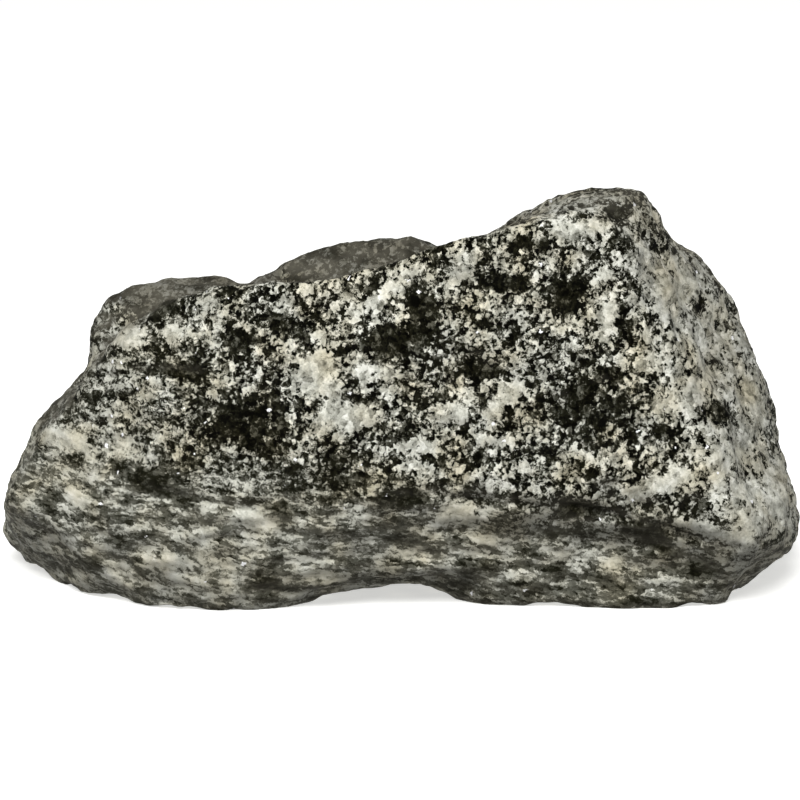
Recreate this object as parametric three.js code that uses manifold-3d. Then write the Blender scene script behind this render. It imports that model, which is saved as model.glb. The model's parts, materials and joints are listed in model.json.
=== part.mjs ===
// A rough lump of banded gneiss, broken from the bedrock and a little worn: one solid stone.
// Millimetres, +Z up. X runs along the stone, Y goes from its broad front face to its back.
// The origin is under the middle of the stone, on the surface that it rests on.

import * as THREE from "three";
import { ImprovedNoise } from "three/addons/math/ImprovedNoise.js";
import { mergeVertices } from "three/addons/utils/BufferGeometryUtils.js";
import Module from "manifold-3d";

// Driving dimensions
const LENGTH = 110; // end to end along X: the finished stone is brought to this length
const HEART = new THREE.Vector3(0, 0, 24); // the point inside the stone that its faces are measured from
const BASE_CUT = 0.4; // height of the flat that the stone rests on, before it is set down on z = 0
const EDGE_SHARPNESS = 26; // how crisply neighbouring faces meet: about 10 is a pebble, 60 a fresh break

// The broken faces. turn is where a face looks, seen from above: 0 to the front, 90 to the right end,
// 180 to the back. tilt is how far it looks up, and reach is its distance from the heart.
const FACES = {
  front: { turn: 1, tilt: 14, reach: 27.2 },
  frontFoot: { turn: 0, tilt: -10, reach: 30.8 },
  leftFront: { turn: -38, tilt: 14, reach: 39 },
  leftFoot: { turn: -42, tilt: -20, reach: 47.6 },
  leftShoulder: { turn: -90, tilt: 41, reach: 37.8 },
  leftSide: { turn: -92, tilt: 29, reach: 43.2 },
  leftEnd: { turn: -90, tilt: 3, reach: 56.3 },
  leftUnder: { turn: -75, tilt: -60, reach: 46 },
  rightFace: { turn: 70, tilt: 27, reach: 42.6 },
  rightFlank: { turn: 95, tilt: 22, reach: 49.9 },
  rightEnd: { turn: 92, tilt: 10, reach: 52.6 },
  rightUnder: { turn: 76, tilt: -52, reach: 48.5 },
  rightCrown: { turn: 103, tilt: 51, reach: 42.6 },
  summit: { turn: 0, tilt: 84, reach: 32 },
  top: { turn: -121, tilt: 78, reach: 22.9 },
  backTop: { turn: -140, tilt: 66, reach: 24 },
  back: { turn: 178, tilt: 12, reach: 31 },
  backLeft: { turn: -138, tilt: 18, reach: 38 },
  backRight: { turn: 145, tilt: 20, reach: 42 },
  backFoot: { turn: 180, tilt: -35, reach: 34 },
  base: { turn: 0, tilt: -90, reach: 25.5 },
};

// Hollows worn or chipped into the faces. at is the middle, size the half-widths along X, Y and Z.
const HOLLOWS = {
  topTrough: { at: [-12, -5, 44], size: [26, 13, 25], depth: 5 },
  crestDip: { at: [0, -20, 48], size: [18, 9, 10], depth: 3 },
  crestLow: { at: [-20, -20, 41], size: [19, 9, 9], depth: 3 },
  saddle: { at: [11, 6, 48], size: [7.5, 20, 20], depth: 4.6 },
  notch: { at: [-21, 10, 40], size: [4.5, 14, 20], depth: 2.4 },
  summitNotch: { at: [37, 0, 47], size: [4, 16, 5], depth: 0.8 },
  leftGully: { at: [-36, -7, 34], size: [9, 6, 9], depth: 1.5 },
  leftStep: { at: [-47, 2, 28], size: [7, 14, 6], depth: 1.4 },
  leftToe: { at: [-53, -10, 4], size: [8, 16, 7], depth: 2.8 },
  underLedge: { at: [10, -31, 6], size: [18, 9, 10], depth: 2.2 },
  underMiddle: { at: [25, -31, 6], size: [9, 9, 8.5], depth: 2.4 },
  underPoint: { at: [37, -31, 5], size: [12, 9, 5.7], depth: 5 },
  underCorner: { at: [51, -24, 2.5], size: [6, 10, 5], depth: 2.8 },
  arch: { at: [-2, -26, -1], size: [13, 18, 4], depth: 4.4 },
  footGap: { at: [14, -28, 0], size: [14, 14, 4], depth: 1.4 },
};

// Swells left standing on the faces, given in the same way.
const SWELLS = {
  leftHump: { at: [-34.5, 7, 36], size: [10, 10, 10], height: 2.8 },
  midHump: { at: [-12, 12, 43], size: [10, 10, 10], height: 0.8 },
  peak: { at: [26, 4, 53], size: [11, 13, 8], height: 1.5 },
};
const RELIEF_POWER = 4; // how flat-bottomed hollows and swells are: 2 is a soft bell, 4 a shallow dish

// Uneven breakage all over: the lengths of the waves along the stone and upward, and their height.
const WAVES = [
  { along: 21, upward: 17, height: 1.1, start: [3.1, 0, 0] },
  { along: 9, upward: 7, height: 0.7, start: [0, 7.7, 0] },
];

// Facets
const EDGE_SPLITS = 21; // how often each edge of the starting icosahedron is split
const FACET_SPREAD = new THREE.Vector3(1.5, 1, 0.9); // stretches the start, for facets of about one size
const WELD = 1e-4; // corners closer than this are one corner

// The block that cuts the flat base
const CUTTER_WIDTH = 400;
const CUTTER_HEIGHT = 100;

const STONE_COLOUR = 0x8c8a84;
const STONE_ROUGHNESS = 0.8;

const noise = new ImprovedNoise();

function faceNormal({ turn, tilt }) {
  const aside = THREE.MathUtils.degToRad(turn);
  const upward = THREE.MathUtils.degToRad(tilt);
  return new THREE.Vector3(
    Math.sin(aside) * Math.cos(upward),
    -Math.cos(aside) * Math.cos(upward),
    Math.sin(upward),
  );
}

const faces = Object.values(FACES).map((face) => ({ normal: faceNormal(face), reach: face.reach }));

// How far the stone reaches from its heart in a direction: its nearest face, eased into the neighbours.
function reachToFaces(direction) {
  let nearness = 0;
  for (const { normal, reach } of faces) {
    const facing = normal.dot(direction);
    if (facing > 0) nearness += (facing / reach) ** EDGE_SHARPNESS;
  }
  return nearness ** (-1 / EDGE_SHARPNESS);
}

// How strongly a hollow or a swell is felt at a point: 1 at its middle, fading out at its half-widths.
function strengthAt(point, { at, size }) {
  const offsets = at.map((middle, axis) => (point.getComponent(axis) - middle) / size[axis]);
  return Math.exp(-(Math.hypot(...offsets) ** RELIEF_POWER));
}

function relief(point) {
  let rise = 0;
  for (const swell of Object.values(SWELLS)) {
    rise += swell.height * strengthAt(point, swell);
  }
  for (const hollow of Object.values(HOLLOWS)) {
    rise -= hollow.depth * strengthAt(point, hollow);
  }
  for (const { along, upward, height, start } of WAVES) {
    const [x, y, z] = start;
    rise += height * noise.noise(point.x / along + x, point.y / along + y, point.z / upward + z);
  }
  return rise;
}

// A shape with shared corners only, ready to be made a solid.
function welded(geometry) {
  geometry.deleteAttribute("normal");
  geometry.deleteAttribute("uv");
  return mergeVertices(geometry, WELD);
}

// A ball of directions from the heart, each pushed out to the surface of the stone.
function brokenSurface() {
  const ball = new THREE.IcosahedronGeometry(1, EDGE_SPLITS);
  const corners = ball.getAttribute("position");
  const direction = new THREE.Vector3();
  const point = new THREE.Vector3();
  for (let corner = 0; corner < corners.count; corner++) {
    direction.fromBufferAttribute(corners, corner).multiply(FACET_SPREAD).normalize();
    const reach = reachToFaces(direction);
    point.copy(direction).multiplyScalar(reach).add(HEART);
    const shapedReach = reach + relief(point);
    point.copy(direction).multiplyScalar(shapedReach).add(HEART);
    corners.setXYZ(corner, point.x, point.y, point.z);
  }
  return welded(ball);
}

function baseCutter() {
  const block = new THREE.BoxGeometry(CUTTER_WIDTH, CUTTER_WIDTH, CUTTER_HEIGHT);
  block.translate(0, 0, BASE_CUT - CUTTER_HEIGHT / 2);
  return welded(block);
}

const wasm = await Module();
wasm.setup();

function solidOf(geometry) {
  const surface = new wasm.Mesh({
    numProp: 3,
    vertProperties: new Float32Array(geometry.getAttribute("position").array),
    triVerts: new Uint32Array(geometry.index.array),
  });
  return new wasm.Manifold(surface);
}

function shapeOf(solid) {
  const surface = solid.getMesh();
  const geometry = new THREE.BufferGeometry();
  geometry.setAttribute("position", new THREE.BufferAttribute(surface.vertProperties, 3));
  geometry.setIndex(new THREE.BufferAttribute(surface.triVerts, 1));
  return geometry;
}

// Brings a shape to its length and sets it down on z = 0, with the origin under its middle.
function setDown(geometry) {
  geometry.computeBoundingBox();
  const { min, max } = geometry.boundingBox;
  const scale = LENGTH / (max.x - min.x);
  geometry.translate(-(min.x + max.x) / 2, -(min.y + max.y) / 2, -min.z);
  geometry.scale(scale, scale, scale);
  return geometry;
}

const stoneSolid = solidOf(brokenSurface()).subtract(solidOf(baseCutter()));
const stoneMaterial = new THREE.MeshStandardMaterial({
  color: STONE_COLOUR,
  roughness: STONE_ROUGHNESS,
  metalness: 0,
});
const rock = new THREE.Mesh(setDown(shapeOf(stoneSolid)), stoneMaterial);
rock.name = "rock";

const stone = new THREE.Group();
stone.name = "rough_rock";
stone.add(rock);
export default stone;
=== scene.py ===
"""The looks of the rough rock: a broken lump of speckled, banded gneiss on a plain pale floor.

Metres, in the part's own frame: +Z up, X along the stone, Y from its broad front face to its back.
"""

import json
import math

import bpy
import numpy as np
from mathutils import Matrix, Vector

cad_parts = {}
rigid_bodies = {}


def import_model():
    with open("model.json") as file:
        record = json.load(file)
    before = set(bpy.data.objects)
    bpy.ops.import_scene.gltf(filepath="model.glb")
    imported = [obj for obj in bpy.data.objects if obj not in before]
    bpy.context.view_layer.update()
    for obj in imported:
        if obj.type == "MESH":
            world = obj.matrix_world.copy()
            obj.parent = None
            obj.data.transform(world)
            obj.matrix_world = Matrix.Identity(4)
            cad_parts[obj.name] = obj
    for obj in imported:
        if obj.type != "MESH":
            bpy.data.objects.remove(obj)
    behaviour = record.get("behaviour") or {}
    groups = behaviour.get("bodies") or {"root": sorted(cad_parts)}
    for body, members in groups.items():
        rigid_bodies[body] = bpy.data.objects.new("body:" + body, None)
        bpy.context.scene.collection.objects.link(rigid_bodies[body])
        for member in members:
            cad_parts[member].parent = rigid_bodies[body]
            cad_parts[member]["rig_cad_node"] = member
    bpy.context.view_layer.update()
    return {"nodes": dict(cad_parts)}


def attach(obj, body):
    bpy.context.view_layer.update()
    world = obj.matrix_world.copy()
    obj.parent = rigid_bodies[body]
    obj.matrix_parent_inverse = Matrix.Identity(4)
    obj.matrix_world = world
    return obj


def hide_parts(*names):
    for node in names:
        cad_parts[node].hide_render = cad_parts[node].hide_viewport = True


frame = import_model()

bl_info = {
    "name": "Rough Rock",
    "version": (1, 0, 0),
    "blender": (4, 5, 0),
    "location": "3D View > Sidebar > Rock",
    "description": "Models a rough lump of banded gneiss and its stage",
    "category": "Add Mesh",
}

MM = 0.001

# The broad front face is marked as it shows to someone who looks down on it a little. Each mark
# has its place across and up from the middle of the face in mm, its half-length and half-height in mm,
# the degrees that it is turned, and its strength.
FACE_MIDDLE = Vector((0, -2, 23.4))  # mm
SIGHT_TILT = math.radians(10)  # the marks run back into the stone, sinking by this angle
MARK_REACH = (2, 14)  # mm along Y, over which the marks fade out towards the back

# Clots of mica and hornblende, and one broad band of painted shade under the ledge: how much darker they are
# than the stone around them.
DARK_CLOTS_AND_LEDGE_SHADE = (
    (-0.9, 7.7, 4.0, 2.0, 0, 1.0),
    (3.1, 11.7, 2.1, 3.7, 0, 1.0),
    (-19.4, -2.6, 5.8, 3.4, 0, 0.7),
    (-21.0, 8.2, 2.6, 1.3, 0, 0.9),
    (-31.3, 12.2, 2.4, 1.3, 15, 0.8),
    (-29.3, 4.0, 3.2, 0.9, -5, 0.7),
    (-15.4, 10.3, 1.9, 1.2, 0, 0.6),
    (-32.7, -10.6, 6.0, 1.7, -22, 0.8),
    (-46.6, -13.0, 1.1, 2.1, 0, 0.6),
    (10.1, 4.0, 3.4, 1.2, 0, 0.9),
    (13.7, 15.6, 3.2, 1.3, 0, 0.9),
    (22.1, 13.5, 1.9, 3.2, -15, 1.0),
    (25.0, -0.3, 6.1, 4.5, 0, 0.55),
    (15.7, -2.6, 2.4, 1.6, 0, 0.5),
    (34.9, -4.0, 2.0, 2.0, 0, 0.5),
    (42.2, -1.6, 3.2, 1.6, 0, 0.8),
    (39.7, 13.2, 1.6, 2.0, 0, 0.6),
    (23.0, -14.3, 3.4, 1.3, -10, 0.9),
    (34.0, -18.5, 5.3, 1.2, -32, 0.8),
    (39.9, -22.1, 2.1, 1.2, 0, 1.0),
    (0.5, -12.6, 3.7, 1.1, 0, 0.7),
    (-7.5, -8.6, 2.6, 2.4, 0, 0.5),
    (-18.1, -23.8, 2.4, 1.9, 0, 0.7),
    (28.9, 25.4, 1.9, 1.1, 0, 0.9),
    (17.0, 20.8, 2.9, 0.9, 0, 0.7),
    (-0.2, -18.5, 3.4, 0.7, 0, 0.6),
    (38.2, -13.5, 1.9, 1.3, 0, 0.7),
    # painted shade, not a clot: a broad dark band under the ledge, where the overhang shades the stone
    (22.0, -24.5, 24.0, 3.5, -3, 0.3),
)

# Knots of feldspar: how much paler they are than the stone around them.
PALE_KNOTS = (
    (-36.0, 8.6, 2.4, 1.7, 0, 1.0),
    (-30.0, 8.9, 1.9, 1.2, 0, 0.7),
    (-25.4, 12.6, 2.1, 1.3, 30, 0.6),
    (-11.1, 3.3, 2.9, 3.2, 0, 1.0),
    (-10.1, 7.9, 2.1, 1.6, 0, 0.6),
    (-1.8, 14.6, 4.8, 1.2, 38, 0.9),
    (8.4, 17.9, 2.1, 1.9, 0, 0.7),
    (-6.8, -2.0, 4.8, 1.5, 5, 1.0),
    (-3.5, 3.7, 2.9, 1.1, 0, 0.7),
    (6.4, -1.6, 2.6, 1.3, 0, 0.7),
    (1.8, -6.0, 2.6, 1.1, 0, 0.7),
    (13.7, 0.7, 4.0, 1.1, 52, 0.8),
    (11.5, -5.3, 2.4, 0.9, 0, 0.6),
    (27.0, 11.4, 1.5, 2.9, -10, 1.0),
    (23.6, 22.5, 3.4, 1.2, 10, 0.9),
    (31.6, 19.2, 1.6, 2.4, 0, 0.7),
    (33.6, -11.1, 4.8, 1.3, 22, 1.0),
    (8.4, -15.0, 3.4, 1.2, 0, 0.8),
    (-43.2, -12.6, 1.7, 1.5, 0, 1.0),
    (-44.6, -5.3, 3.7, 1.3, -25, 0.7),
    (-19.8, -15.5, 5.8, 0.9, -12, 0.6),
    (-30.4, -22.5, 4.2, 1.9, -30, 0.6),
    (-37.3, -22.8, 2.1, 1.2, 0, 0.5),
    (41.5, -9.3, 1.1, 2.9, 10, 0.8),
    (50.4, -13.2, 1.3, 3.2, 0, 0.6),
    (36.2, 15.2, 3.4, 4.0, 0, 0.5),
    (47.7, 0.0, 1.3, 3.7, 0, 0.5),
    (29.2, -22.3, 2.9, 1.1, -10, 0.5),
    (40.5, -17.0, 7.0, 0.9, -20, 0.7),
    (-41.0, -2.0, 13.0, 12.0, 0, 0.06),
    (41.0, 4.0, 10.0, 17.0, 12, 0.45),
    (48.0, -13.0, 5.0, 6.0, 0, 0.5),
    (26.0, 25.0, 10.0, 3.4, 8, 0.2),
)

# Clefts where the stone has parted along its banding: their depth in mm.
CLEFTS = (
    (-30.5, 3.9, 5.5, 0.8, -4, 1.1),
    (-37.0, 3.4, 3.0, 0.7, 8, 0.7),
    (26.0, -14.8, 5.0, 0.7, -14, 0.8),
    (36.0, -17.3, 4.0, 0.6, -20, 0.7),
    (12.0, -13.2, 6.0, 0.6, -6, 0.6),
    (-24.0, -13.6, 7.0, 0.6, -12, 0.5),
)

# How the solid becomes an even mesh
MERGE_DISTANCE = 0.001 * MM  # corners closer than this are one corner
SMOOTHING_FACTOR = 0.5  # how far each round of smoothing moves a point
FLOOR_LIMIT = (-1, -1, 0)  # lowest place of any point in metres: wide in X and Y, and on the floor in Z

# Where the stone is banded and worn
FOOT_TOP, FOOT_FULL = 20 * MM, 10 * MM  # heights where the banded foot starts and is banded in full
LOW_END_START, LOW_END_FULL = -18 * MM, -40 * MM  # places along X where the low end starts and is full
LOW_END_BANDING = 0.6  # how strongly the low end is banded, against the foot
FOOT_WEAR = 0.6  # share of the small roughness that is worn off the foot

# Where a plain grey cover takes the place of the stone's grain: on upward faces behind the front face, and
# as painted shade on faces that look down. Slopes are the upward part of a normal.
DULL_SLOPE, DULL_SLOPE_FADE = 0.4, 0.35  # the upward slope where the grey cover starts, and how soon it is full
DULL_FRONT, DULL_FRONT_FADE = -20, 8  # mm along Y: where the grey cover starts behind the front face, and is full
SUMMIT_START, SUMMIT_FADE = 18, 10  # mm along X: where the summit block, with less grey cover, starts
SUMMIT_DULLING, HUMP_DULLING = 0.45, 0.35  # grey cover on top of the summit, and how much more is on the humps
UNDER_SLOPE, UNDER_FADE, UNDER_PAINTED_SHADE = 0.05, 0.3, 0.35  # the same for faces that look down, and the painted shade on them

# The minerals. Patterns run from 0 to 1 and are added up with these weights.
NOISE_MIDDLE = 0.5
RAGGED_SCALE, RAGGED_REACH = 0.7, 1.8  # how fine grain edges are, and how far they stray, in grains
FOLD_LENGTH, FOLD_REACH = 24 * MM, 4 * MM  # the gentle folds of the bands, and how far they stray
CLUSTER_ROUGHNESS, STREAK_ROUGHNESS = 0.72, 0.62  # how ragged the clusters are, massive and banded
WHOLE_GRAINS = 0.55  # how much a cluster follows whole grains
PALE_SUM = (-0.3, {"cluster": 1.0, "blotches": 0.2, "marks": 0.22, "grain": 0.22, "flecks": 0.14})
PALE_EDGE = (0.43, 0.57)  # the sums between which dark minerals give way to pale ones
CRISP_SUM = (-0.08, {"minerals": 0.32, "crystal": 0.24, "grain": 0.12, "flecks": 0.1, "ragged": 0.4})
SOFT_SUM = (-0.03, {"cluster": 1.0, "blotches": 0.15, "marks": 0.16, "grain": 0.06, "crystal": 0.06})
SOFTENING = (0, {"foot": 0.43, "banding": 0.17})  # how far the soft tones take the place of the crisp ones
MINERAL_TONES = {"hornblende": 0.39, "quartz": 0.52, "feldspar": 0.7}  # paleness of each mineral
DARKEST, PALEST = 0.27, 0.86  # paleness of black mica and of bright feldspar
STAIN_EDGE, STAIN_MOST = (0.4, 0.7), 0.5  # where stains start and are full, and how strong they are
PAINTED_GLINT_CORE = 0.5  # half-width of a painted glint, a white fleck, in flat grains
PATCH_EDGE = (0.35, 0.6)  # where dark patches of the grey cover give way to paler ones
GRAIN_BUMP, GRAIN_BUMP_STRENGTH = 0.25 * MM, 0.6  # how far pale grains stand out of dark ones

# The stage
SIGHT = Vector((-0.1, -1.95, 23.54)) * MM  # the point that the camera looks at
FLOOR_SIZE = 8  # metres
KEY_PLACE = (-0.12, -0.75, 0.8)  # metres
KEY_SIZE = 0.7  # metres
WHITE = (1, 1, 1, 1)

# Sockets of a mix node
FACTOR = 0
VECTOR_A, VECTOR_B, MIXED_VECTOR = 4, 5, 1
COLOUR_A, COLOUR_B, MIXED_COLOUR = 6, 7, 2


def linear(colour):
    """An sRGB hex colour as linear red, green, blue and alpha."""
    channels = [int(colour[place:place + 2], 16) / 255 for place in (1, 3, 5)]
    return [((c + 0.055) / 1.055) ** 2.4 if c > 0.04045 else c / 12.92 for c in channels] + [1.0]


def add_node(tree, kind, inputs=None, **settings):
    """Adds a node to a tree, with its settings, and gives its inputs a value or a link from another node."""
    new = tree.nodes.new(kind)
    for name, value in settings.items():
        setattr(new, name, value)
    for name, value in (inputs or {}).items():
        if isinstance(value, bpy.types.NodeSocket):
            tree.links.new(value, new.inputs[name])
        else:
            new.inputs[name].default_value = value
    return new


def weighted_sum(tree, start, terms):
    """Adds up patterns, each times its weight, from a starting value."""
    total = start
    for pattern, weight in terms:
        total = add_node(
            tree, "ShaderNodeMath", {0: pattern, 1: weight, 2: total}, operation="MULTIPLY_ADD").outputs[0]
    return total


def pattern_sum(tree, patterns, recipe):
    """Adds up named patterns by a recipe: a starting value, and the weight of each pattern."""
    start, weights = recipe
    return weighted_sum(tree, start, [(patterns[name], weight) for name, weight in weights.items()])


class RockShape(bpy.types.PropertyGroup):
    """The sizes of the stone's fine relief."""

    mesh_step: bpy.props.FloatProperty(
        name="Mesh Step", description="Length of the mesh's edges",
        default=0.54 * MM, min=0.4 * MM, precision=5, unit="LENGTH")
    smoothing: bpy.props.IntProperty(
        name="Smoothing", description="Rounds of smoothing that take the facets out of the solid",
        default=7, min=0)
    lump_length: bpy.props.FloatProperty(
        name="Lump Length", description="Length of the lumps that the break left",
        default=8 * MM, precision=5, unit="LENGTH")
    lump_height: bpy.props.FloatProperty(
        name="Lump Height", description="Height of the lumps that the break left",
        default=2.2 * MM, precision=5, unit="LENGTH")
    facet_length: bpy.props.FloatProperty(
        name="Facet Length", description="Length of the small faces that the break left",
        default=4 * MM, precision=5, unit="LENGTH")
    facet_height: bpy.props.FloatProperty(
        name="Facet Height", description="How far the edges of the small faces stand out",
        default=0.9 * MM, precision=5, unit="LENGTH")
    hackle_length: bpy.props.FloatProperty(
        name="Hackle Length", description="Length of the grains that stick out of the break",
        default=1.8 * MM, precision=5, unit="LENGTH")
    hackle_height: bpy.props.FloatProperty(
        name="Hackle Height", description="How far the grains stick out of the break",
        default=0.7 * MM, precision=5, unit="LENGTH")
    ledge_length: bpy.props.FloatProperty(
        name="Ledge Length", description="Length of the small ledges along the banding",
        default=8 * MM, precision=5, unit="LENGTH")
    ledge_rise: bpy.props.FloatProperty(
        name="Ledge Rise", description="Distance from one small ledge to the next",
        default=1.8 * MM, precision=5, unit="LENGTH")
    ledge_height: bpy.props.FloatProperty(
        name="Ledge Height", description="How far the small ledges stand out",
        default=1.3 * MM, precision=5, unit="LENGTH")
    clot_depth: bpy.props.FloatProperty(
        name="Clot Depth", description="How much deeper dark clots lie than pale knots",
        default=0.5 * MM, precision=5, unit="LENGTH")


class GneissLook(bpy.types.PropertyGroup):
    """The grain and the colours of the gneiss, with its painted highlights and its grey cover, which is
    painted shade on faces that look down.
    """

    grain: bpy.props.FloatProperty(
        name="Grain", description="Width of a mineral grain",
        default=0.55 * MM, precision=5, unit="LENGTH")
    fleck: bpy.props.FloatProperty(
        name="Fleck", description="Width of a mica fleck",
        default=0.3 * MM, precision=5, unit="LENGTH")
    crystal: bpy.props.FloatProperty(
        name="Crystal", description="Width of a large feldspar or quartz crystal",
        default=1.1 * MM, precision=5, unit="LENGTH")
    cluster: bpy.props.FloatProperty(
        name="Cluster", description="Width of the clusters of like grains",
        default=1.9 * MM, precision=5, unit="LENGTH")
    streak: bpy.props.FloatProperty(
        name="Streak", description="Width of the clusters of like grains where the stone is banded",
        default=2.1 * MM, precision=5, unit="LENGTH")
    blotch: bpy.props.FloatProperty(
        name="Blotch", description="Width of the dark and pale parts of the stone",
        default=8 * MM, precision=5, unit="LENGTH")
    lineation: bpy.props.FloatProperty(
        name="Lineation", default=2, min=1,
        description="How many times longer the grains are from front to back than across")
    stretch: bpy.props.FloatProperty(
        name="Stretch", default=1.6, min=1,
        description="How many times longer the grains are than thick where the stone is banded")
    thinning: bpy.props.FloatProperty(
        name="Thinning", description="How thick the grains are where the stone is banded, against elsewhere",
        default=0.55, max=1)
    band_tilt: bpy.props.FloatProperty(
        name="Band Tilt", description="Angle that the bands sink by towards the tall end",
        default=math.radians(8), subtype="ANGLE")
    # Painted highlights: a few flat grains are coloured white to stand in for grains that catch the light.
    painted_glint: bpy.props.FloatProperty(
        name="Glint", description="Width of a flat grain that catches the light",
        default=0.7 * MM, precision=5, unit="LENGTH")
    painted_glint_chance: bpy.props.FloatProperty(
        name="Glint Chance", description="Share of the flat grains that catch the light",
        default=0.075, max=1)
    stain_size: bpy.props.FloatProperty(
        name="Stain Size", description="Width of the faint stains",
        default=5 * MM, precision=5, unit="LENGTH")
    mica: bpy.props.FloatVectorProperty(
        name="Mica", description="Black mica", size=4, subtype="COLOR", default=linear("#030301"))
    hornblende: bpy.props.FloatVectorProperty(
        name="Hornblende", description="Dark olive hornblende", size=4, subtype="COLOR",
        default=linear("#1e1e14"))
    quartz: bpy.props.FloatVectorProperty(
        name="Quartz", description="Grey quartz", size=4, subtype="COLOR", default=linear("#6a6a60"))
    feldspar: bpy.props.FloatVectorProperty(
        name="Feldspar", description="Pale feldspar", size=4, subtype="COLOR", default=linear("#c6c6ba"))
    bright_feldspar: bpy.props.FloatVectorProperty(
        name="Bright Feldspar", description="Freshly broken feldspar", size=4, subtype="COLOR",
        default=linear("#f2f2e9"))
    stain: bpy.props.FloatVectorProperty(
        name="Stain", description="Faint rusty stain", size=4, subtype="COLOR", default=linear("#ead9b2"))
    # Patches of the plain grey cover, which is also painted shade on faces that look down.
    patch: bpy.props.FloatProperty(
        name="Patch", description="Width of the patches of weathered skin",
        default=3 * MM, precision=5, unit="LENGTH")
    # Colour of the plain grey cover on upward faces behind the front face, also used as painted shade on
    # faces that look down.
    skin: bpy.props.FloatVectorProperty(
        name="Skin", description="Weathered skin on top of the stone", size=4, subtype="COLOR",
        default=linear("#5c594f"))
    # Its dark patches, also painted shade on faces that look down.
    dark_dull_cover_and_painted_shade: bpy.props.FloatVectorProperty(
        name="Dark Skin", description="Dark patches of the weathered skin", size=4, subtype="COLOR",
        default=linear("#35332b"))


class StageLook(bpy.types.PropertyGroup):
    """The floor, the lights and the camera."""

    floor: bpy.props.FloatVectorProperty(
        name="Floor", description="Colour of the floor", size=4, subtype="COLOR", default=linear("#f8f8f6"))
    floor_glow: bpy.props.FloatProperty(
        name="Floor Glow", description="Strength of the light that shines through the floor", default=0.6)
    key_power: bpy.props.FloatProperty(
        name="Key Power", description="Power of the large soft light in front", default=13, unit="POWER")
    sky: bpy.props.FloatProperty(
        name="Sky", description="Strength of the even white light from all around", default=0.3)
    distance: bpy.props.FloatProperty(
        name="Distance", description="Distance of the camera from the stone", default=0.7, unit="LENGTH")
    elevation: bpy.props.FloatProperty(
        name="Elevation", description="Angle that the camera looks down by",
        default=math.radians(10), subtype="ANGLE")
    lens: bpy.props.FloatProperty(
        name="Lens", description="Focal length of the camera in mm", default=231.1)


def points_of(mesh, name):
    """The places or normals of a mesh's points, one row for each."""
    values = np.empty(len(mesh.vertices) * 3, np.float32)
    mesh.vertices.foreach_get(name, values)
    return values.reshape(-1, 3)


def write_layer(mesh, name, values):
    """Writes one number for each point of a mesh, to be read by this name in its node trees."""
    layer = mesh.attributes.new(name, "FLOAT", "POINT")
    layer.data.foreach_set("value", values.astype(np.float32))


def marks_at(places, marks):
    """How strongly each point is marked by the marks of the front face."""
    offsets = places / MM - np.array(FACE_MIDDLE)
    across = offsets[:, 0]
    up = offsets[:, 2] * math.cos(SIGHT_TILT) + offsets[:, 1] * math.sin(SIGHT_TILT)
    strengths = np.zeros(len(places))
    for mark_across, mark_up, length, height, turn, strength in marks:
        angle = math.radians(turn)
        right = across - mark_across
        above = up - mark_up
        along = (right * math.cos(angle) + above * math.sin(angle)) / length
        aside = (above * math.cos(angle) - right * math.sin(angle)) / height
        strengths += strength * np.exp(-((along ** 2 + aside ** 2) ** 2))
    front, back = MARK_REACH
    return strengths * np.clip((back - offsets[:, 1]) / (back - front), 0, 1)


def weathering(places, normals):
    """How much plain grey cover each point gets: most where the humps behind the front face look up, and as
    painted shade where faces look down.
    """
    upward = np.clip((normals[:, 2] - DULL_SLOPE) / DULL_SLOPE_FADE, 0, 1)
    behind = np.clip((places[:, 1] / MM - DULL_FRONT) / DULL_FRONT_FADE, 0, 1)
    below_summit = np.clip((SUMMIT_START - places[:, 0] / MM) / SUMMIT_FADE, 0, 1)
    downward = np.clip((-normals[:, 2] - UNDER_SLOPE) / UNDER_FADE, 0, 1)
    return np.maximum(upward * behind * (SUMMIT_DULLING + HUMP_DULLING * below_summit), UNDER_PAINTED_SHADE * downward)


def banding_at(tree, place, tilt):
    """How near each point is to the stone's foot, along its bands, and how strongly it is banded there."""
    parts = add_node(tree, "ShaderNodeSeparateXYZ", {0: place})
    height = weighted_sum(tree, 0, ((parts.outputs["Z"], 1), (parts.outputs["X"], math.tan(tilt))))
    foot = add_node(
        tree, "ShaderNodeMapRange",
        {"Value": height, "From Min": FOOT_TOP, "From Max": FOOT_FULL}).outputs[0]
    low_end = add_node(
        tree, "ShaderNodeMapRange",
        {"Value": parts.outputs["X"], "From Min": LOW_END_START, "From Max": LOW_END_FULL,
         "To Max": LOW_END_BANDING}).outputs[0]
    banding = add_node(tree, "ShaderNodeMath", {0: foot, 1: low_end}, operation="MAXIMUM").outputs[0]
    return foot, banding


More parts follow.
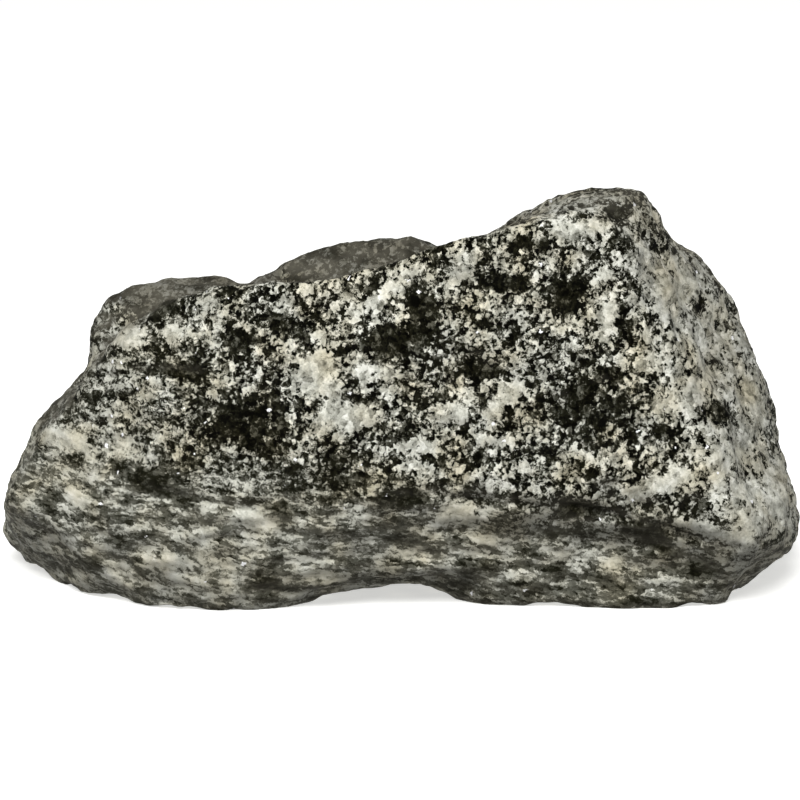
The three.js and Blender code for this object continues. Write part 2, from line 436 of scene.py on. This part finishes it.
def stone_relief(shape, tilt):
    """The relief of a broken surface, as geometry nodes that push every point along its normal."""
    tree = bpy.data.node_groups.new("broken relief", "GeometryNodeTree")
    tree.interface.new_socket("Geometry", in_out="INPUT", socket_type="NodeSocketGeometry")
    tree.interface.new_socket("Geometry", in_out="OUTPUT", socket_type="NodeSocketGeometry")
    start = add_node(tree, "NodeGroupInput")
    place = add_node(tree, "GeometryNodeInputPosition").outputs[0]
    normal = add_node(tree, "GeometryNodeInputNormal").outputs[0]
    lumps = add_node(
        tree, "ShaderNodeTexNoise",
        {"Vector": place, "Scale": 1 / shape.lump_length, "Detail": 2, "Roughness": 0.5}).outputs[0]
    facets = add_node(
        tree, "ShaderNodeTexVoronoi",
        {"Vector": place, "Scale": 1 / shape.facet_length, "Randomness": 1}).outputs["Distance"]
    hackle = add_node(
        tree, "ShaderNodeTexNoise",
        {"Vector": place, "Scale": 1 / shape.hackle_length, "Detail": 1, "Roughness": 0.5}).outputs[0]
    flat = add_node(
        tree, "ShaderNodeVectorMath",
        {0: place, 1: (1 / shape.ledge_length, 1 / shape.ledge_length, 1 / shape.ledge_rise)},
        operation="MULTIPLY")
    ledges = add_node(
        tree, "ShaderNodeTexNoise", {"Vector": flat.outputs[0], "Scale": 1, "Detail": 1}).outputs[0]
    foot, banding = banding_at(tree, place, tilt)
    ledge_rises = add_node(tree, "ShaderNodeMath", {0: ledges, 1: NOISE_MIDDLE}, operation="SUBTRACT")
    banded_ledges = add_node(
        tree, "ShaderNodeMath", {0: ledge_rises.outputs[0], 1: banding}, operation="MULTIPLY").outputs[0]
    sharpness = weighted_sum(tree, 1, ((foot, -FOOT_WEAR),))
    roughness = weighted_sum(tree, -(shape.facet_height + shape.hackle_height) / 2, (
        (facets, shape.facet_height),
        (hackle, shape.hackle_height),
    ))
    paleness = add_node(tree, "GeometryNodeInputNamedAttribute", {"Name": "paleness"}).outputs["Attribute"]
    cleft = add_node(tree, "GeometryNodeInputNamedAttribute", {"Name": "cleft"}).outputs["Attribute"]
    height = weighted_sum(tree, -shape.lump_height / 2, (
        (lumps, shape.lump_height),
        (roughness, sharpness),
        (banded_ledges, shape.ledge_height),
        (paleness, shape.clot_depth / 2),
        (cleft, -MM),
    ))
    offset = add_node(tree, "ShaderNodeVectorMath", {0: normal, "Scale": height}, operation="SCALE")
    broken = add_node(
        tree, "GeometryNodeSetPosition", {"Geometry": start.outputs[0], "Offset": offset.outputs[0]})
    above_floor = add_node(
        tree, "ShaderNodeVectorMath", {0: place, 1: FLOOR_LIMIT}, operation="MAXIMUM")
    resting = add_node(
        tree, "GeometryNodeSetPosition",
        {"Geometry": broken.outputs[0], "Position": above_floor.outputs[0]})
    add_node(tree, "NodeGroupOutput", {0: resting.outputs[0]})
    return tree


def banded_gneiss(look):
    """Banded gneiss, broken and a little worn: black mica and olive hornblende among grey quartz and pale
    feldspar, in grains that gather in clusters and streaks. It is dull and rough, with a few white flecks
    painted in as highlights. A plain grey cover lies on upward faces behind the front face, and faces that
    look down carry it as painted shade."""
    material = bpy.data.materials.new("banded gneiss")
    material.use_nodes = True
    tree = material.node_tree
    tree.nodes.clear()
    place = add_node(tree, "ShaderNodeTexCoord").outputs["Object"]
    lined = add_node(
        tree, "ShaderNodeVectorMath",
        {0: place, 1: (1, 1 / look.lineation, 1)}, operation="MULTIPLY").outputs[0]
    ragged = add_node(
        tree, "ShaderNodeTexNoise",
        {"Vector": lined, "Scale": RAGGED_SCALE / look.grain, "Detail": 3, "Roughness": 0.7})
    equant = add_node(
        tree, "ShaderNodeVectorMath",
        {0: ragged.outputs["Color"], 1: [RAGGED_REACH * look.grain] * 3, 2: lined},
        operation="MULTIPLY_ADD").outputs[0]
    folds = add_node(tree, "ShaderNodeTexNoise", {"Vector": place, "Scale": 1 / FOLD_LENGTH, "Detail": 1})
    folded = add_node(
        tree, "ShaderNodeVectorMath", {0: folds.outputs["Color"], 1: [FOLD_REACH] * 3, 2: equant},
        operation="MULTIPLY_ADD").outputs[0]
    streaked = add_node(
        tree, "ShaderNodeMapping",
        {"Vector": folded, "Rotation": (0, look.band_tilt, 0), "Scale": (look.stretch, 1, look.thinning)},
        vector_type="TEXTURE").outputs[0]

    foot, banding = banding_at(tree, place, look.band_tilt)
    clusters = []
    crystals = []
    grains = []
    massive = (equant, look.cluster, CLUSTER_ROUGHNESS)
    banded = (streaked, look.streak, STREAK_ROUGHNESS)
    for vector, cluster_size, roughness in (massive, banded):
        crystals.append(add_node(
            tree, "ShaderNodeTexVoronoi",
            {"Vector": vector, "Scale": 1 / look.crystal, "Randomness": 1}).outputs["Color"])
        cells = add_node(
            tree, "ShaderNodeTexVoronoi", {"Vector": vector, "Scale": 1 / look.grain, "Randomness": 1})
        grains.append(cells.outputs["Color"])
        gathered_in = add_node(
            tree, "ShaderNodeMix",
            {FACTOR: WHOLE_GRAINS, VECTOR_A: vector, VECTOR_B: cells.outputs["Position"]},
            data_type="VECTOR").outputs[MIXED_VECTOR]
        clusters.append(add_node(
            tree, "ShaderNodeTexNoise",
            {"Vector": gathered_in, "Scale": 1 / cluster_size, "Detail": 5, "Roughness": roughness,
             "Distortion": 0.5}).outputs["Fac"])
    patterns = {"foot": foot, "banding": banding, "ragged": ragged.outputs["Fac"]}
    for name, (plain, streaky) in (("cluster", clusters), ("crystal", crystals), ("grain", grains)):
        patterns[name] = add_node(
            tree, "ShaderNodeMix", {"Factor": banding, "A": plain, "B": streaky}).outputs["Result"]
    patterns["blotches"] = add_node(
        tree, "ShaderNodeTexNoise",
        {"Vector": streaked, "Scale": 1 / look.blotch, "Detail": 2}).outputs["Fac"]
    patterns["flecks"] = add_node(
        tree, "ShaderNodeTexVoronoi",
        {"Vector": equant, "Scale": 1 / look.fleck, "Randomness": 1}).outputs["Color"]
    # marks of the front face, including a broad band of painted shade under the ledge
    patterns["marks"] = add_node(tree, "ShaderNodeAttribute", attribute_name="paleness").outputs["Fac"]
    dark_below, pale_above = PALE_EDGE
    patterns["minerals"] = add_node(
        tree, "ShaderNodeMapRange",
        {"Value": pattern_sum(tree, patterns, PALE_SUM), "From Min": dark_below, "From Max": pale_above},
        interpolation_type="SMOOTHSTEP").outputs[0]
    crisp = pattern_sum(tree, patterns, CRISP_SUM)
    soft = pattern_sum(tree, patterns, SOFT_SUM)
    softness = pattern_sum(tree, patterns, SOFTENING)
    paleness = add_node(
        tree, "ShaderNodeMix", {"Factor": softness, "A": crisp, "B": soft}).outputs["Result"]

    colours = add_node(tree, "ShaderNodeValToRGB", {"Fac": paleness})
    stops = colours.color_ramp.elements
    stops[0].position = DARKEST
    stops[0].color = look.mica
    stops[1].position = PALEST
    stops[1].color = look.bright_feldspar
    for mineral, tone in MINERAL_TONES.items():
        stops.new(tone).color = getattr(look, mineral)
    stains = add_node(
        tree, "ShaderNodeTexNoise", {"Vector": folded, "Scale": 1 / look.stain_size, "Detail": 3})
    stain_start, stain_full = STAIN_EDGE
    rusty = add_node(
        tree, "ShaderNodeMapRange",
        {"Value": stains.outputs["Fac"], "From Min": stain_start, "From Max": stain_full,
         "To Max": STAIN_MOST})
    stained = add_node(
        tree, "ShaderNodeMix",
        {FACTOR: rusty.outputs[0], COLOUR_A: colours.outputs["Color"], COLOUR_B: look.stain},
        data_type="RGBA", blend_type="MULTIPLY")
    # Painted highlights: a few flat grains are coloured white, as glints.
    facets = add_node(
        tree, "ShaderNodeTexVoronoi", {"Vector": equant, "Scale": 1 / look.painted_glint, "Randomness": 1},
        distance="MANHATTAN")
    chance = add_node(
        tree, "ShaderNodeMath", {0: facets.outputs["Color"], 1: look.painted_glint_chance}, operation="LESS_THAN")
    core = add_node(
        tree, "ShaderNodeMath", {0: facets.outputs["Distance"], 1: PAINTED_GLINT_CORE}, operation="LESS_THAN")
    painted_glints = add_node(
        tree, "ShaderNodeMath", {0: chance.outputs[0], 1: core.outputs[0]}, operation="MULTIPLY")
    painted_glinting = add_node(
        tree, "ShaderNodeMix",
        {FACTOR: painted_glints.outputs[0], COLOUR_A: stained.outputs[MIXED_COLOUR], COLOUR_B: WHITE},
        data_type="RGBA")
    # The plain grey cover, in patches: on upward faces behind the front face, and as painted shade on faces
    # that look down.
    patches = add_node(
        tree, "ShaderNodeTexNoise", {"Vector": streaked, "Scale": 1 / look.patch, "Detail": 3})
    dark_patch, pale_patch = PATCH_EDGE
    patchy = add_node(
        tree, "ShaderNodeMapRange",
        {"Value": patches.outputs["Fac"], "From Min": dark_patch, "From Max": pale_patch})
    dull_and_shaded_colour = add_node(
        tree, "ShaderNodeMix",
        {FACTOR: patchy.outputs[0], COLOUR_A: look.dark_dull_cover_and_painted_shade, COLOUR_B: look.skin}, data_type="RGBA")
    skin = add_node(tree, "ShaderNodeAttribute", attribute_name="weathering")
    dulled_and_shaded = add_node(
        tree, "ShaderNodeMix",
        {FACTOR: skin.outputs["Fac"], COLOUR_A: painted_glinting.outputs[MIXED_COLOUR],
         COLOUR_B: dull_and_shaded_colour.outputs[MIXED_COLOUR]},
        data_type="RGBA")
    bump = add_node(
        tree, "ShaderNodeBump",
        {"Height": paleness, "Strength": GRAIN_BUMP_STRENGTH, "Distance": GRAIN_BUMP})
    shader = add_node(
        tree, "ShaderNodeBsdfPrincipled",
        {"Base Color": dulled_and_shaded.outputs[MIXED_COLOUR], "Normal": bump.outputs[0], "Roughness": 0.6,
         "Specular IOR Level": 0.015, "IOR": 1.54})
    add_node(tree, "ShaderNodeOutputMaterial", {"Surface": shader.outputs[0]})
    return material


def pale_floor(look):
    """Matt white board, lit from beneath: even and plain, so that only the stone draws the eye."""
    material = bpy.data.materials.new("matt white board")
    material.use_nodes = True
    shader = material.node_tree.nodes["Principled BSDF"]
    shader.inputs["Base Color"].default_value = look.floor
    shader.inputs["Roughness"].default_value = 0.9
    shader.inputs["Emission Color"].default_value = look.floor
    shader.inputs["Emission Strength"].default_value = look.floor_glow
    return material


class ROCK_OT_make_stone(bpy.types.Operator):
    """Model the stone around its solid"""

    bl_idname = "rock.make_stone"
    bl_label = "Make Stone"
    bl_options = {"REGISTER", "UNDO"}

    def execute(self, context):
        shape = context.scene.rock_shape
        look = context.scene.gneiss_look
        solid = frame["nodes"]["rock"]
        bpy.ops.object.select_all(action="DESELECT")
        solid.select_set(True)
        context.view_layer.objects.active = solid
        bpy.ops.object.duplicate()
        stone = context.view_layer.objects.active
        bpy.ops.object.parent_clear(type="CLEAR_KEEP_TRANSFORM")
        stone.name = "stone"
        stone.data.name = "stone"
        del stone["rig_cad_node"]
        stone.data.materials.clear()

        bpy.ops.object.mode_set(mode="EDIT")
        bpy.ops.mesh.select_all(action="SELECT")
        bpy.ops.mesh.remove_doubles(threshold=MERGE_DISTANCE)
        bpy.ops.object.mode_set(mode="OBJECT")

        even = stone.modifiers.new("even mesh", "REMESH")
        even.mode = "VOXEL"
        even.voxel_size = shape.mesh_step
        bpy.ops.object.modifier_apply(modifier=even.name)
        soften = stone.modifiers.new("soft facets", "SMOOTH")
        soften.factor = SMOOTHING_FACTOR
        soften.iterations = shape.smoothing
        bpy.ops.object.modifier_apply(modifier=soften.name)

        places = points_of(stone.data, "co")
        # pale knots less dark clots; the dark marks include a broad band of painted shade under the ledge
        paleness = np.clip(marks_at(places, PALE_KNOTS) - marks_at(places, DARK_CLOTS_AND_LEDGE_SHADE), -1, 1)
        write_layer(stone.data, "paleness", paleness)
        write_layer(stone.data, "cleft", marks_at(places, CLEFTS))
        relief = stone.modifiers.new("broken relief", "NODES")
        relief.node_group = stone_relief(shape, look.band_tilt)
        bpy.ops.object.modifier_apply(modifier=relief.name)
        bpy.ops.object.shade_smooth()

        # Plain grey cover on upward faces behind the front face, and painted shade on faces that look down.
        skin = weathering(points_of(stone.data, "co"), points_of(stone.data, "normal"))
        write_layer(stone.data, "weathering", skin)
        stone.data.materials.append(banded_gneiss(look))
        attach(stone, "root")
        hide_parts("rock")
        return {"FINISHED"}


class ROCK_OT_make_stage(bpy.types.Operator):
    """Set up the floor, the lights and the camera"""

    bl_idname = "rock.make_stage"
    bl_label = "Make Stage"
    bl_options = {"REGISTER", "UNDO"}

    def execute(self, context):
        look = context.scene.stage_look
        bpy.ops.object.select_all(action="DESELECT")
        bpy.ops.mesh.primitive_plane_add(size=FLOOR_SIZE)
        floor = context.view_layer.objects.active
        floor.name = "floor"
        floor.data.materials.append(pale_floor(look))
        floor.visible_diffuse = False  # the board's glow stays off the stone's shaded underside

        back = Vector((0, -math.cos(look.elevation), math.sin(look.elevation)))

        bpy.ops.object.light_add(type="AREA", location=KEY_PLACE)
        key = context.view_layer.objects.active
        key.name = "key light"
        key.data.shape = "DISK"
        key.data.size = KEY_SIZE
        key.data.energy = look.key_power
        key.rotation_euler = (SIGHT - key.location).to_track_quat("-Z", "Y").to_euler()

        world = bpy.data.worlds.new("studio")
        world.use_nodes = True
        world.node_tree.nodes["Background"].inputs["Color"].default_value = WHITE
        world.node_tree.nodes["Background"].inputs["Strength"].default_value = look.sky
        context.scene.world = world
        context.scene.view_settings.view_transform = "Standard"

        bpy.ops.object.camera_add(location=SIGHT + back * look.distance)
        camera = context.view_layer.objects.active
        camera.name = "camera"
        camera.data.lens = look.lens
        camera.rotation_euler = (-back).to_track_quat("-Z", "Y").to_euler()
        context.scene.camera = camera
        return {"FINISHED"}


class VIEW3D_PT_rock(bpy.types.Panel):
    """The rock's sizes and colours"""

    bl_label = "Rough Rock"
    bl_space_type = "VIEW_3D"
    bl_region_type = "UI"
    bl_category = "Rock"

    def draw(self, context):
        groups = (
            ("Stone", ROCK_OT_make_stone, (context.scene.rock_shape, context.scene.gneiss_look)),
            ("Stage", ROCK_OT_make_stage, (context.scene.stage_look,)),
        )
        for title, maker, settings in groups:
            column = self.layout.column()
            column.label(text=title)
            for group in settings:
                for name in group.__annotations__:
                    column.prop(group, name)
            column.operator(maker.bl_idname)


CLASSES = (RockShape, GneissLook, StageLook, ROCK_OT_make_stone, ROCK_OT_make_stage, VIEW3D_PT_rock)


def register():
    for kind in CLASSES:
        bpy.utils.register_class(kind)
    bpy.types.Scene.rock_shape = bpy.props.PointerProperty(type=RockShape)
    bpy.types.Scene.gneiss_look = bpy.props.PointerProperty(type=GneissLook)
    bpy.types.Scene.stage_look = bpy.props.PointerProperty(type=StageLook)


def unregister():
    del bpy.types.Scene.rock_shape
    del bpy.types.Scene.gneiss_look
    del bpy.types.Scene.stage_look
    for kind in reversed(CLASSES):
        bpy.utils.unregister_class(kind)


def main():
    register()
    bpy.ops.rock.make_stone()
    bpy.ops.rock.make_stage()


if __name__ == "__main__":
    main()
